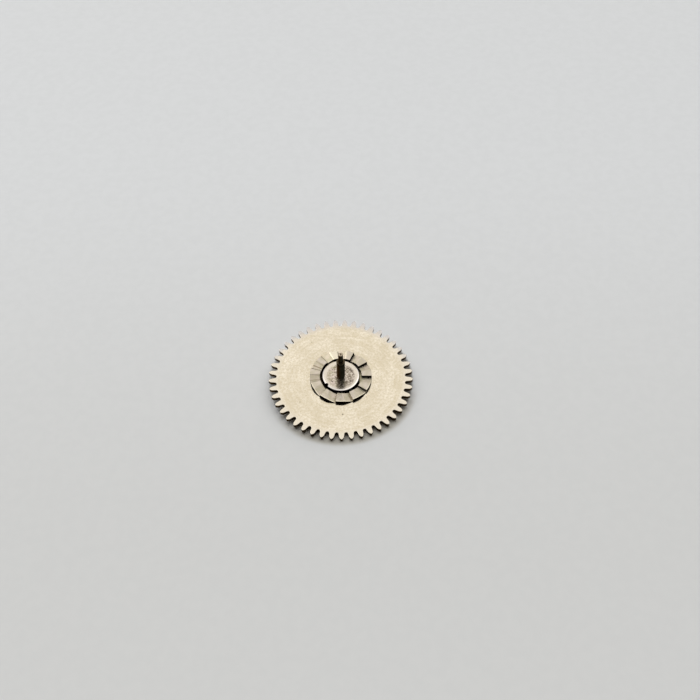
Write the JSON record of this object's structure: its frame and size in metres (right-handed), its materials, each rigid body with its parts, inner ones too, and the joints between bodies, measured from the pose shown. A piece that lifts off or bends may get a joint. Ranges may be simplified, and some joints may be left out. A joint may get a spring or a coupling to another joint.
{
  "type": "pawl winding wheel",
  "caption": "Flat toothed watch wheel with a saw-toothed crown ratchet, turning on a pivoted steel arbor between its flange and a pressed collar.",
  "frame": {"origin": "tip of the lower pivot, at the bottom centre of the part, on the arbor's axis", "axes": "+Z along the arbor's axis, from the lower pivot up to the long shaft and the upper pivot; +X and +Y lie in the wheel's plane, and the step of one ratchet tooth lies 1.3 degrees clockwise of +X, seen from above"},
  "size_m": [0.0076, 0.0076, 0.0027],
  "materials": {
    "wheel_brass": "fine-grained pale brass",
    "ratchet_steel": "milled and lightly polished steel",
    "collar_steel": "mottled satin face with a polished bevel",
    "arbor_steel": "dark polished hardened steel"
  },
  "bodies": {
    "arbor": {"arbor": "arbor_steel", "retaining_collar": "collar_steel"},
    "wheel": {"winding_wheel": "wheel_brass", "crown_ratchet": "ratchet_steel"}
  },
  "joints": [
    {"name": "wheel_spin", "type": "hinge", "parent": "arbor", "child": "wheel", "pos_m": [0, 0, 0.00049], "axis": [0, 0, 1], "continuous": true}
  ]
}
